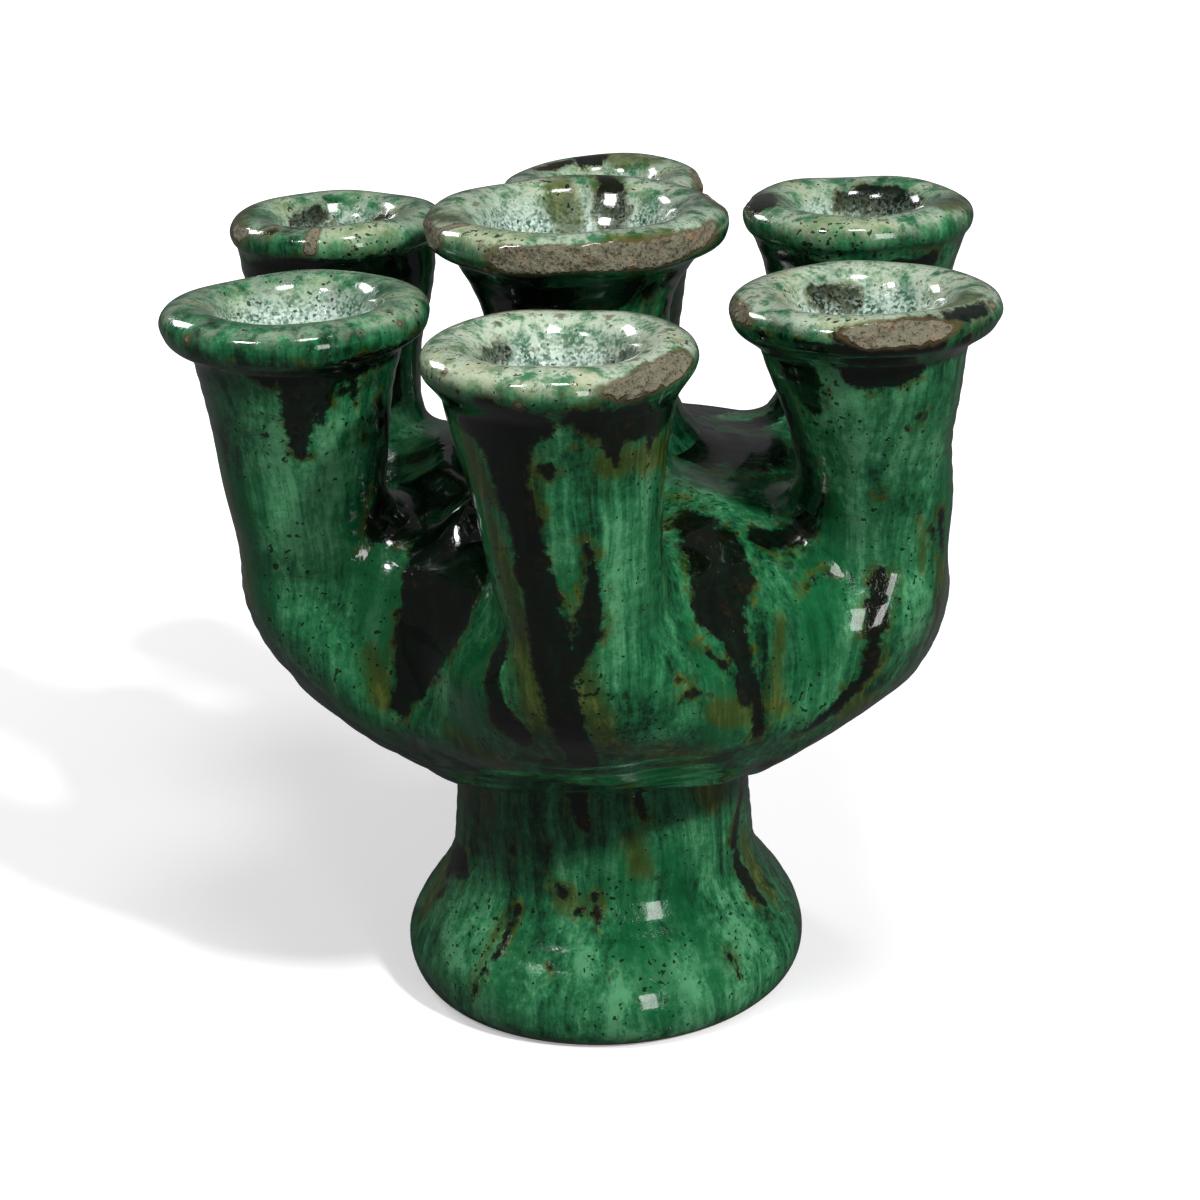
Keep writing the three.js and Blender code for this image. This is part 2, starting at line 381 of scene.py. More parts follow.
def spun(profile, columns, aside=0.0):
    # A profile of [radius, height] rows carried once round +Z
    angle = np.linspace(0, 2 * math.pi, columns, endpoint=False)
    r, z = profile[:, :1], profile[:, 1:]
    return np.stack([aside + r * np.cos(angle), r * np.sin(angle), z + 0 * angle], -1)


def evenly(profile, rows):
    # The same line with its rows evenly spaced along it
    step = np.hypot(*np.diff(profile, axis=0).T)
    along = np.concatenate([[0], np.cumsum(step)])
    at = np.linspace(0, along[-1], rows)
    return np.stack([np.interp(at, along, profile[:, k]) for k in range(profile.shape[1])], 1)


def cushion(radius, height, power, ends, side, samples, rows):
    # Quarter of a superellipse from one radius to another, r = R cos(t)^(2/p) and
    # h = H sin(t)^(2/p), over the body's widest plane (side 1) or under it (side -1)
    start, end = (math.acos(min(1, (r / radius) ** (power / 2))) for r in ends)
    angle = np.linspace(start, end, samples)
    out = radius * np.maximum(0, np.cos(angle)) ** (2 / power)
    up = height * np.sin(angle) ** (2 / power)
    return evenly(np.stack([out, body["plane"] + side * up], 1), rows)


def smoothLine(corners, rows):
    # A Catmull-Rom curve through the corners, evenly spaced
    p = np.array(corners, float)
    p = np.vstack([2 * p[0] - p[1], p, 2 * p[-1] - p[-2]])
    t = np.linspace(0, 1, 24, endpoint=False)[:, None]
    parts = []
    for i in range(1, len(p) - 2):
        a, b, c, d = p[i - 1:i + 3]
        square, cube = 2 * a - 5 * b + 4 * c - d, 3 * b - a - 3 * c + d
        parts.append(0.5 * (2 * b + (c - a) * t + square * t ** 2 + cube * t ** 3))
    parts.append(p[-2:-1])
    return evenly(np.vstack(parts), rows)


# Where the coloured glazes ran. Each run is a line of (direction, height, half width) on the
# wall of its spout, foot or body: degrees round from the front towards +X, and millimetres.
# Over a lip the height goes on counting inwards, across the lip and down the mouth
glazeRuns = {
    "spout_front": {
        "black": [
            [(-80, 181, 3), (-52, 182, 5), (-28, 180, 8), (-9, 182, 5)],
            [(9, 184, 2.5), (30, 181, 4.5), (60, 180, 5), (82, 180, 3)], [(29, 178, 2.5), (33, 171, 1.2)],
            [(52, 177, 2), (54, 173, 1)], [(3, 177, 1.6)], [(-4, 171, 2.2)],
            [(-24, 178, 6), (-28, 168, 4.8), (-22, 158, 4.6), (-22, 150, 4.4), (-18, 140, 5),
             (-16, 130, 6), (-16, 120, 4.8), (-12, 110, 4.8), (-8, 102, 4.6), (-5, 93, 4)],
            [(14, 152.5, 1.2), (17, 146, 1.8), (15, 139, 2.6), (9, 132, 3.4), (2, 126, 2.6),
             (-6, 121, 2)],
            [(-62, 134, 1), (-61, 124, 2.4), (-55, 115, 2.6), (-47, 107, 3), (-34, 101, 2.6)],
            [(84, 121, 1), (88, 113, 1.8), (84, 104, 1.6)],
            [(56, 111, 0.8), (64, 113, 1.2), (71, 111, 0.7)], [(60, 117, 0.6)], [(75, 118, 0.7)],
            [(170, 184, 6), (150, 170, 4), (152, 150, 3)], [(-140, 180, 6), (-150, 160, 3)],
            [(-128, 211, 2), (-90, 212, 4), (-60, 210, 3)],
            [(78, 211, 3), (112, 212, 3.5), (128, 214, 2)],
        ],
        "olive": [
            [(-54, 178, 3), (-50, 165, 3.5)],
            [(-48, 156, 2), (-42, 146, 2.5), (-38, 136, 3), (-36, 124, 4), (-30, 112, 4), (-26, 106, 3)],
            [(-14, 173, 3), (-15, 166, 2)], [(28, 172, 3), (52, 171, 4), (80, 170, 4), (82, 156, 2)],
            [(5, 121, 2), (5, 113, 4), (9, 106, 4), (16, 99, 3)], [(72, 104, 5), (88, 102, 4)],
        ],
        "mint": [[(4, 165, 2), (0, 150, 2)], [(40, 160, 3), (45, 140, 4), (38, 124, 4)]],
        "emerald": [
            [(-3, 146, 3), (0, 142, 3)], [(60, 150, 3), (64, 130, 3)], [(-75, 118, 7), (-70, 106, 8)],
        ],
    },
    "spout_front_left": {
        "black": [
            [(-16, 182, 2.5), (-4, 180, 2)],
            [(3, 181, 3), (14, 179, 6), (28, 181, 5), (46, 183, 4), (76, 184, 2.5)],
            [(10, 175, 5.5), (9, 168, 4), (10, 161.5, 2)], [(21, 175, 3), (23, 169, 1.6)], [(34, 176, 2)],
            [(43, 177, 1.8), (41, 173, 1)], [(70, 170, 2), (72, 164, 2)], [(52, 163, 1.1)],
            [(82, 166, 1.5), (84, 150, 2), (84, 136, 1.5)], [(80, 124, 1.5), (92, 122, 2.5)],
            [(150, 182, 7), (140, 160, 5), (146, 140, 3)],
            [(-120, 180, 5), (-118, 160, 3), (-122, 138, 2)],
        ],
        "olive": [
            [(68, 118, 2), (60, 108, 2.5), (50, 100, 3)], [(34, 106, 1.5), (30, 98, 1.5)],
            [(-60, 150, 2), (-58, 120, 2)], [(-88, 172, 4), (-86, 150, 3)],
        ],
        "mint": [
            [(-12, 174, 6), (-4, 160, 7), (8, 152, 9), (12, 142, 8)], [(28, 166, 6), (34, 155, 5)],
            [(38, 120, 3), (34, 113, 2)],
        ],
        "emerald": [
            [(45, 142, 4), (48, 132, 6), (45, 122, 5), (30, 112, 5), (18, 103, 5)],
            [(-40, 150, 5), (-40, 120, 6)],
        ],
    },
    "spout_front_right": {
        "black": [
            [(-78, 184, 4), (-54, 183, 6), (-41, 177, 5.5), (-36, 171, 3)],
            [(-66, 172, 5), (-60, 160, 5), (-57, 150, 5), (-56, 140, 4.5), (-56, 132, 2.5)],
            [(-30, 187, 2.5), (-13, 185, 5), (2, 183, 8), (16, 184, 7.5), (28, 187, 4)], [(46, 186, 2.5)],
            [(1, 128, 1.6), (0, 124, 3.2), (0, 118, 2.8), (2, 110, 2.4), (4, 103, 2.6), (2, 97, 2.6),
             (-4, 92, 2)],
            [(2, 149, 0.8)], [(31, 168, 1.3)], [(22, 166, 0.9)], [(-33, 128, 1.4)], [(35, 143, 0.9)],
            [(46, 138, 1.2), (48, 134, 1)], [(58, 140, 1.5), (61, 130, 1.6)],
            [(54, 121, 1.6), (60, 112, 1.6), (58, 106, 1.6)],
            [(140, 184, 6), (136, 165, 4), (140, 140, 3)], [(-150, 182, 6), (-146, 160, 4)],
            [(-12, 191, 2.5), (12, 193, 2.5), (28, 195, 2.5)],
            [(38, 194, 3), (50, 195, 4), (62, 194, 2.5)],
            [(-140, 208, 2), (-150, 212, 4.5), (-170, 213, 3.5)],
        ],
        "olive": [
            [(-52, 176, 1.5), (-50, 169, 1.5)], [(34, 142, 0.9), (36, 134, 1), (35, 127, 0.9)],
            [(-50, 132, 2), (-52, 122, 2), (-58, 110, 1.8), (-62, 104, 2)], [(60, 124, 4), (64, 112, 4)],
            [(44, 200, 2.5), (60, 201, 3.5), (74, 198, 3)], [(8, 127, 3), (12, 120, 1.5)],
        ],
        "mint": [
            [(-20, 172, 8), (-20, 145, 8)], [(8, 176, 12), (12, 160, 13), (0, 140, 12)],
            [(18, 122, 6), (20, 112, 6)], [(-12, 122, 3), (-14, 112, 3)], [(-72, 112, 5), (-66, 104, 4)],
        ],
        "emerald": [
            [(-37, 144, 3), (-34, 132, 4), (-28, 120, 4), (-24, 110, 4), (-28, 100, 3)],
            [(70, 160, 4), (70, 130, 5)],
        ],
    },
    "spout_back_right": {
        "black": [
            [(-80, 185, 4), (-60, 182, 7), (-30, 182, 6)], [(-62, 180, 5), (-60, 160, 5), (-62, 140, 4)],
            [(10, 184, 3), (40, 185, 3)], [(30, 182, 2), (32, 172, 1.2)], [(-86, 201, 5), (-66, 200, 4)],
            [(115, 212, 3), (140, 212, 5), (170, 213, 6), (-172, 213, 4)],
            [(150, 184, 6), (146, 160, 4), (150, 130, 3)], [(-140, 184, 5), (-142, 165, 3)],
        ],
        "olive": [
            [(60, 200, 4), (90, 199, 4)], [(80, 160, 4), (82, 130, 4)], [(-20, 150, 3), (-18, 120, 3)],
        ],
        "mint": [[(20, 170, 8), (24, 150, 8)], [(100, 150, 7), (100, 120, 7)]],
        "emerald": [[(60, 150, 5), (62, 120, 6)], [(170, 150, 6), (172, 120, 6)]],
    },
    "spout_back": {
        "black": [
            [(-164, 203, 5.5), (-158, 199, 3)], [(-148, 204, 2.5), (-130, 204, 2), (-116, 203, 1.5)],
            [(-150, 186, 6), (-160, 165, 4), (-155, 140, 3)], [(150, 186, 5), (154, 160, 4)],
            [(20, 184, 6), (0, 182, 7), (-30, 182, 7)],
        ],
        "olive": [[(170, 205, 4), (140, 204, 4)], [(180, 150, 4), (176, 120, 4)]],
        "mint": [[(180, 172, 6), (175, 150, 7)], [(120, 150, 6)]],
        "emerald": [[(-120, 150, 6), (-120, 120, 6)], [(140, 130, 6)]],
    },
    "spout_back_left": {
        "black": [
            [(-60, 184, 3), (-30, 184, 5), (0, 184, 6), (30, 184, 6), (60, 183, 5)],
            [(40, 180, 5), (44, 150, 4)], [(-150, 212, 3.5), (-125, 213, 4)],
            [(105, 213, 3.5), (130, 214, 4)], [(-30, 197, 1.2)],
            [(-150, 184, 6), (-148, 160, 4), (-152, 130, 3)], [(160, 180, 4), (158, 150, 3)],
        ],
        "olive": [[(-100, 197, 4), (-70, 196, 4)], [(-100, 150, 4), (-98, 120, 4)]],
        "mint": [[(-80, 170, 7), (-80, 140, 8)], [(60, 160, 5), (64, 145, 5)]],
        "emerald": [[(-130, 150, 6), (-130, 120, 6)], [(70, 170, 4), (72, 140, 5)]],
    },
    "centre_spout": {
        "black": [
            [(-75, 192, 6), (-40, 188, 9), (0, 187, 10), (28, 190, 6)], [(-50, 176, 12), (-40, 158, 10)],
            [(44, 188, 2.5), (58, 190, 2.5)], [(72, 192, 3), (76, 182, 4)], [(60, 168, 1), (70, 160, 1)],
            [(172, 207, 2), (165, 214, 3.5), (160, 222, 4.5), (156, 229, 3)],
            [(140, 190, 9), (150, 170, 8), (150, 155, 6)], [(-150, 190, 9), (-140, 170, 7)],
        ],
        "olive": [
            [(-170, 214, 4), (-166, 222, 5), (-172, 228, 4)],
            [(-88, 206, 3), (-66, 210, 3), (-50, 216, 2.5)], [(172, 206, 3), (166, 216, 5)],
            [(50, 178, 3), (56, 172, 3)], [(40, 204, 4), (20, 205, 3)],
        ],
        "mint": [[(40, 172, 7), (46, 158, 9), (44, 150, 9)], [(100, 180, 8), (104, 160, 8)]],
        "emerald": [[(84, 172, 5), (82, 158, 6)]],
    },
    "foot": {
        "black": [
            [(-74, 33, 4), (-66, 36, 4), (-60, 34, 2.5)], [(-70, 26, 2)], [(-58, 44, 1.5), (-56, 40, 1)],
            [(-30, 31, 1.2), (-31, 24, 0.9), (-35, 16, 0.9), (-37, 9, 0.8)],
            [(-17, 50, 1.3), (-17, 45, 1.4)], [(-14, 40, 1), (-11, 38, 1.6)], [(-5, 33.5, 1.2)],
            [(0.5, 38, 0.9), (1.5, 31, 0.9)], [(25, 41, 1)],
            [(43, 21, 0.7), (45, 15, 1.2), (46, 12, 0.9)], [(5, 19, 0.7)], [(-13, 21, 0.7)],
            [(-33, 47, 1.2)], [(-6, 69, 3.5), (-4, 60, 2.6), (0, 54, 1.2)], [(18, 68, 2), (20, 58, 1.4)],
            [(-45, 68, 2), (-44, 60, 1.5)], [(76, 58, 1.5), (70, 48, 2), (65, 41, 2)],
            [(66, 37, 2.6), (67, 30, 2.6), (69, 23, 1.6)], [(120, 60, 5), (124, 44, 4), (128, 30, 3)],
            [(-130, 66, 5), (-128, 50, 4), (-124, 26, 3)], [(170, 50, 4)],
        ],
        "olive": [
            [(-84, 62, 6), (-66, 58, 7)], [(-52, 64, 4), (-46, 56, 4)], [(-30, 66, 4)],
            [(-78, 28, 5), (-76, 20, 4)], [(-34, 30, 1.6), (-38, 12, 1.4)], [(46, 66, 6), (52, 58, 5)],
            [(74, 40, 3), (76, 31, 4), (76, 24, 3)], [(15, 52, 2), (17, 44, 2)],
            [(-8, 36, 3), (-14, 36, 2.5)], [(44, 18, 2)], [(150, 50, 6), (156, 30, 5)],
        ],
        "mint": [
            # Low round the front the glaze is thin and mint, and this band is also painted light on the lit
            # front
            [(-60, 14, 8), (0, 12, 9), (50, 14, 8)],
            [(-14, 46, 3), (-10, 40, 3), (-8, 28, 4), (-5, 12, 4)],
            [(42, 50, 4), (46, 38, 4), (50, 28, 5)], [(-48, 34, 5), (-50, 20, 6)], [(30, 14, 4)],
            [(5, 46, 2)], [(100, 40, 8), (-160, 30, 8)],
        ],
        "emerald": [
            [(10, 48, 3), (12, 36, 5), (16, 24, 7), (20, 12, 6)], [(30, 46, 3), (34, 30, 4), (38, 14, 3)],
            [(-26, 26, 3), (-28, 12, 4)], [(-100, 40, 8)],
        ],
    },
    "body": {
        "black": [
            [(-30, 146, 13), (-30, 136, 13), (-29, 126, 11), (-31, 117, 9), (-33, 108, 6), (-35, 101, 3)],
            [(27, 135, 8), (24, 128, 7), (26, 119, 3.5), (28, 110, 2.8), (30, 102, 2.6), (30, 96, 2)],
            [(96, 146, 9), (96, 130, 8), (95, 116, 4), (96, 104, 2)],
            [(150, 140, 9), (152, 124, 6), (150, 108, 3)],
            [(-150, 142, 9), (-149, 126, 7), (-152, 110, 3)],
            [(-90, 142, 9), (-92, 128, 7), (-90, 112, 4)],
            [(-62, 150, 14), (-32, 150, 16), (-8, 150, 10)], [(64, 150, 8), (88, 150, 11)],
            [(-6, 92, 3.5), (-4, 84, 3)], [(8, 76, 4)], [(-40, 78, 4)], [(40, 80, 3)], [(60, 98, 1.5)],
        ],
        "olive": [
            [(-40, 112, 2), (-38, 102, 3)], [(25, 137, 2)], [(35, 122, 1.5), (33, 110, 2), (34, 100, 3)],
            [(-22, 98, 3), (-14, 92, 4)], [(12, 96, 5), (18, 90, 5)], [(48, 96, 4), (60, 90, 4)],
            [(-60, 90, 5)],
        ],
        "mint": [[(44, 104, 4), (46, 98, 3)], [(-24, 108, 3)]],
        "emerald": [
            [(17, 124, 3), (19, 116, 5), (21, 108, 6), (21, 99, 6)], [(-50, 96, 6), (-40, 90, 5)],
        ],
    },
}

# Breaks in the lips: direction and degrees upwards of the plane that cuts, and its depth
chips = {
    "spout_front": [(54, 32, 1.3), (40, 8, 0.7)],
    "spout_front_right": [(8, 24, 1.5), (22, 30, 1.3), (-74, 25, 0.6)],
    "centre_spout": [(-12, -4, 1.1), (1, 0, 1.1), (14, 4, 1.3), (38, 2, 1.2), (56, 10, 0.6),
                     (-74, 6, 1.2), (108, 55, 0.7)],
    "spout_back_left": [(-62, 30, 0.4)],
    "spout_back": [(92, 30, 0.8)],
    "spout_back_right": [(-100, 35, 0.4), (160, 30, 0.5)],
}

# How far each lip was wiped: 1 leaves it grey, less keeps it green
rimWear = {
    "spout_front": 1.0, "spout_front_right": 0.9, "spout_back_right": 0.75, "spout_back": 0.8,
    "spout_back_left": 0.7, "spout_front_left": 0.6, "centre_spout": 0.85,
}

# Spots scraped bare, written as the runs are
scrapes = {
    "spout_back_left": [[(-5, 192, 1.6), (-4, 197, 1.4), (-4, 201, 1)], [(-30, 203, 0.4), (-40, 196, 0.4)]],
    "centre_spout": [[(-58, 203, 1), (-50, 209, 1.2)], [(-30, 197, 0.8)]],
    "spout_front": [[(-50, 192, 0.7)], [(-12, 187, 0.8)]],
    "spout_front_left": [[(-40, 190, 0.8)], [(60, 191, 0.7)]],
    "spout_front_right": [[(-60, 190, 0.9)], [(70, 193, 1.2)]],
    "foot": [[(-60, 1, 1), (-20, 0, 1.2), (20, 0, 1), (60, 1, 1.2)], [(120, 0, 1), (180, 0, 1)]],
}

# Depth in a run where there is none near, in mm
noRun = -12.0

# How runs go on over a neighbouring piece
carried = {
    "overRoot": 4,          # the body's runs stay whole this far off the body on a root
    "overBody": 9,          # and on the body itself, where the clay stands out
    "thinning": 1.6,        # then they thin out by this for each mm
    "rootWider": 1.7,       # a spout's runs stay whole round a root this much wider than its neck
    "past": 4,              # and this far past it
    "within": 5,            # and this far inside the neck
}


def runDepth(runs, direction, height, around):
    # How deep a point lies inside the nearest run, in mm: half width less the distance to
    # the line, on the wall rolled out flat. It is negative outside
    deepest = np.full(height.shape, noRun)
    for run in runs:
        for (d0, h0, w0), (d1, h1, w1) in zip(run, run[1:] or run):
            across = around * np.radians((direction - d0 + 180) % 360 - 180)
            along = around * math.radians((d1 - d0 + 180) % 360 - 180)
            up, rise = height - h0, h1 - h0
            share = np.clip((across * along + up * rise) / np.maximum(along ** 2 + rise ** 2, 1e-9), 0, 1)
            off = np.hypot(across - share * along, up - share * rise)
            deepest = np.maximum(deepest, w0 + (w1 - w0) * share - off)
    return deepest


def surfaceFacts(points, own, height=None):
    # What the glaze needs to know at each vertex. Runs of a spout count on that spout and on
    # the body round its root, and runs of the body also on the roots. `off` thins a run out
    # with the distance from the surface that it was laid on
    facts = {key: np.full(len(points), noRun) for key in ("black", "olive", "mint", "emerald", "bare")}
    z = points[:, 2]
    for name, runs in glazeRuns.items():
        onBody = own in ("bowl", "shoulder") and name != "foot"
        onRoot = own in outerSpouts and name == "body"
        if not (name == own or onBody or onRoot):
            continue
        if name in tubes:
            line, spout, _ = tubes[name]
            centre, radius = line(spout, np.maximum(z, body["plane"] - 8))
        else:
            centre, radius = np.array([body["aside"] if name == "body" else 0.0, 0.0]), None
        offset = points[:, :2] - centre
        around = np.hypot(*offset.T)
        direction = np.degrees(np.arctan2(offset[:, 0], -offset[:, 1]))
        if name == "body":
            near = carried["overRoot"] if own in tubes else carried["overBody"]
            off = carried["thinning"] * np.maximum(0, np.abs(bodyField(points)[0]) - near)
        elif name in tubes and name != own:
            past = around - radius * carried["rootWider"] - carried["past"]
            off = np.maximum(0, past) + np.maximum(0, radius - carried["within"] - around)
        else:
            off = 0
        level = height if name == own and height is not None else z
        for key, lines in {**runs, "bare": scrapes.get(name, [])}.items():
            depth = runDepth(lines, direction, level, np.maximum(around, 8)) - off
            facts[key] = np.maximum(facts[key], depth)
    return facts


def chip(grid, name):
    # Breaks pieces off a lip: what stands out past a plane is pushed back to it, and the
    # break is left a little rough. Gives back how far each point stood out
    depth = np.full(grid.shape[:-1], noRun)
    for turn, tilt, cut in chips.get(name, []):
        turn, tilt = math.radians(turn), math.radians(tilt)
        flat = math.cos(tilt)
        way = np.array([math.sin(turn) * flat, -math.cos(turn) * flat, math.sin(tilt)])
        out = grid @ way
        past = out - (out.max() - cut) + 0.3 * lumps(grid, 5, 21) + 0.2 * lumps(grid, 2.4, 23)
        grid -= (np.maximum(past, 0) * (1 + 0.1 * lumps(grid, 2.6, 22)))[..., None] * way
        depth = np.maximum(depth, past)
    return depth


def makeShell(own, outer, outerNormals, inner, holes=None):
    # One closed piece from an outer and an inner wall of the same size
    innerNormals = -gridNormals(inner, False)
    if own == "foot":
        # The ring that the vase stands on faces down
        outerNormals[0] = innerNormals[0] = (0, 0, -1)
    points = np.concatenate([outer, inner]).reshape(-1, 3)
    normals = np.concatenate([outerNormals, innerNormals]).reshape(-1, 3)
    quads = shellQuads(*outer.shape[:2], holes)
    return makeMesh(own, points, normals, quads, surfaceFacts(points, own))


def inBores(points):
    # True where a point is in a spout's bore or close to it
    inside = np.zeros(points.shape[:-1], bool)
    for name, (line, spout, _) in tubes.items():
        bore = centreShape["bore"] if name == "centre_spout" else spoutShape["bore"]
        centre, _ = line(spout, np.maximum(points[..., 2], body["plane"]))
        inside |= np.linalg.norm(points[..., :2] - centre, axis=-1) <= bore + body["boreGap"]
    return inside


def makeBowl():
    # Flat underside, curved skin up to the widest circle, and a hollow of its own
    b = body
    ends = (b["baseRadius"], b["radius"])
    curve = cushion(b["radius"], bowlHeight, b["bowlPower"], ends, -1, b["bowlSamples"], b["bowlRows"])
    curve = np.vstack([curve, [b["radius"], b["plane"] + b["seam"]]])
    base = spun(curve, b["columns"], b["aside"])
    share = eased(np.clip((base[..., 2:] - base[0, 0, 2]) / b["jointFade"], 0, 1))
    skin = base + (bodySkin(base) - base) * (b["jointSlip"] + (1 - b["jointSlip"]) * share)
    normals = gridNormals(skin, False)[:-1]
    skin = skin[:-1]
    low = b["plane"] - b["bowlDepth"]
    flat = evenly(np.array([[0, low], [b["baseRadius"], low]]), b["bottomRows"] + 1)[:-1]
    bottom = spun(flat, b["columns"], b["aside"])
    # The underside rises and falls with the uneven edge of the skin
    bottom[..., 2] += (skin[0, :, 2] - low) * np.linspace(0, 1, len(bottom))[:, None] ** 3
    down = np.zeros_like(bottom)
    down[..., 2] = -1
    radius = b["radius"] - b["wall"]
    inner = cushion(radius, b["bowlDepth"] - b["floor"], b["bowlPower"], (0.0, radius), -1,
                    b["bowlSamples"], len(bottom) + len(skin))
    inner = spun(inner, b["columns"], b["aside"])
    return makeShell("bowl", np.concatenate([bottom, skin]), np.concatenate([down, normals]), inner)


def makeShoulder():
    # Closed over the top, and open where the bores go through
    b = body
    curve = cushion(b["radius"], b["shoulderHeight"], b["shoulderPower"], (b["radius"], 0.0), 1,
                    b["shoulderSamples"], b["shoulderRows"])
    curve = np.vstack([[b["radius"], b["plane"] - b["seam"]], curve])
    base = spun(curve, b["columns"], b["aside"])
    skin = bodySkin(base)
    normals = gridNormals(skin, False)[1:]
    radius = b["radius"] - b["wall"]
    inner = cushion(radius, b["shoulderHeight"] - b["wall"], b["shoulderPower"], (radius, 0.0), 1,
                    b["shoulderSamples"], b["shoulderRows"])
    inner = spun(inner, b["columns"], b["aside"])
    bare = base[1:]
    middle = (bare[:-1] + bare[1:] + np.roll(bare[:-1], -1, 1) + np.roll(bare[1:], -1, 1)) / 4
    return makeShell("shoulder", skin[1:], normals, inner, inBores(middle))


# What all spouts share
spoutWall = {
    "sunk": 4.0,            # how deep in the body's wall the outside starts
    "boreSunk": 7.0,        # and how deep the bore ends
    "under": 4.0,           # the line of the lip starts this far down the neck
    "lipRows": 90,
    "boreRows": 29,
    "dip": 3.0,             # how far the lowest rows dip under the body's skin
    "dipRows": 7,
    "counted": 1.15,        # height counted for each mm past the widest point of the lip
    "wiped": 8.0,           # the rim is wiped from this far under its top
    "crystalsFrom": 12.0,   # crystals start this far past the top
    "crystalsOver": 9.0,    # and are thickest this much further on
    # The rolled lip, as steps outwards and upwards from its radius and its top
    "lip": [(-2.0, -8.6), (-0.5, -6.4), (0.0, -4.2), (-0.9, -1.9), (-3.2, -0.5), (-6.6, 0.0),
            (-9.8, -0.7), (-12.2, -2.6), (-14.2, -6.0)],
}


def crossing(line, spout, radius, angle, depth):
    # Height at which each upright line of a tube sinks `depth` into the body
    lowest, highest = body["plane"] - 12, 152.0
    heights = np.arange(lowest, highest, 0.5)
    a, _ = bodyField(ringAt(line, spout, radius, angle, heights[:, None] + 0 * angle))
    sunk = a < -depth
    last = len(heights) - 1 - np.argmax(sunk[::-1], axis=0)
    found = np.where(sunk.any(0), heights[last], lowest)
    # Eased round the tube, and never above what was found
    for shift in (1, -1, 2, -2, 4, -4):
        found = np.minimum(found, np.roll(found, shift))
    around = np.exp(-np.linspace(-2, 2, 17) ** 2)
    return sum(w * np.roll(found, k) for k, w in zip(range(-8, 9), around)) / around.sum()


def makeSpout(name):
    # One grid of rings: up the outside, over the lip and down the bore, closed inside the wall
    line, spout, _ = tubes[name]
    isCentre = name == "centre_spout"
    shape = centreShape if isCentre else spoutShape
    w = spoutWall
    top = body["plane"] + shape["height"] + (0 if isCentre else spout["rise"])
    lipRadius = shape["lip"] + (0 if isCentre else spout["mouth"])
    columns = shape["columns"]
    angle = np.linspace(0, 2 * math.pi, columns, endpoint=False)

    # Outside, from inside the body's wall up to where the lip starts
    flareEnd = body["plane"] + shape["flareEnd"]
    start = crossing(line, spout, None, angle, w["sunk"])
    z = start + (flareEnd - start) * np.linspace(0, 1, shape["rows"])[:, None]
    wall = ringAt(line, spout, None, angle, z)

    # Lip and mouth as one smooth line of radius and height
    ends = flareEnd + np.array([-w["under"], 0.0])
    under = np.stack([line(spout, ends)[1], ends], 1)
    lipCorners = [[lipRadius + out, top + up] for out, up in w["lip"]]
    inside = lipCorners[-1]
    mouth = [[shape["bore"] + (inside[0] - shape["bore"]) * (1 - t) ** 2,
              inside[1] - shape["mouthDepth"] * 0.8 * t] for t in (0.3, 0.6, 1.0)]
    rollLine = smoothLine([*under, *lipCorners, *mouth], w["lipRows"])
    rollLine = rollLine[np.argmax(rollLine[:, 1] > flareEnd + 0.3):]
    rolled = ringAt(line, spout, rollLine[:, :1], angle, rollLine[:, 1:] + 0 * angle)

    # Bore, down to the body's inner wall
    mouthEnd = rollLine[-1, 1]
    end = crossing(line, spout, shape["bore"], angle, w["boreSunk"])
    z = mouthEnd + (end - mouthEnd) * np.linspace(0, 1, w["boreRows"] + 1)[1:, None]
    bore = ringAt(line, spout, shape["bore"], angle, z)

    normals = gridNormals(np.concatenate([wall, rolled, bore]), True)
    _, away = tubeField(line, spout, wall)
    wall = tubeSkin(name, wall, away)
    # The lowest rows dip, so that no edge of the grid shows
    dip = w["dip"] * np.clip(1 - np.arange(len(wall)) / w["dipRows"], 0, 1) ** 2
    wall -= dip[:, None, None] * away
    # The clay is uneven over the lip, and runs out to even in the mouth
    count = len(rolled)
    fade = np.clip(1 - (np.arange(count) - count * 0.6) / (count * 0.3), 0, 1)[:, None, None]
    rolled = rolled + unevenness(rolled)[..., None] * normals[len(wall):len(wall) + count] * fade
    broken = chip(rolled, name)

    # Height that goes on counting along the line once the lip has turned inwards
    widest = np.argmax(rollLine[:, 0])
    step = np.hypot(*np.diff(rollLine, axis=0).T)
    counted = rollLine[:, 1].copy()
    counted[widest + 1:] = counted[widest] + w["counted"] * np.cumsum(step[widest:])
    height = np.concatenate([wall[..., 2], counted[:, None] + 0 * angle,
                             counted[-1] + (mouthEnd - bore[..., 2])]).ravel()

    grid = np.concatenate([wall, rolled, bore])
    normals = gridNormals(grid, True)
    index = np.arange(height.size).reshape(-1, columns)
    nextRow, nextColumn = np.roll(index, -1, 0), np.roll(index, -1, 1)
    quads = np.stack([index, nextColumn, np.roll(nextRow, -1, 1), nextRow], -1).reshape(-1, 4)
    points = grid.reshape(-1, 3)
    facts = surfaceFacts(points, name, height)
    onLip = slice(len(wall) * columns, (len(wall) + count) * columns)
    facts["bare"][onLip] = np.maximum(facts["bare"][onLip], broken.ravel())
    facts["rim"] = np.clip((height - (top - w["wiped"])) / w["wiped"], 0, 1) * rimWear[name]
    facts["mouth"] = np.clip((height - (top + w["crystalsFrom"])) / w["crystalsOver"], 0, 1)
    return makeMesh(name, points, normals.reshape(-1, 3), quads, facts)


foot = {
    "height": 70.0,
    "neck": 37.0,
    "taper": 2.0,
    "rim": 52.6,
    "rimHeight": 9.0,
    "stand": 47.5,
    "flareHeight": 38.0,
    "wall": 7.0,
    "evenBelow": 12.0,
    "evenAbove": 6.0,
    "rows": 90,
    "columns": 360,
}


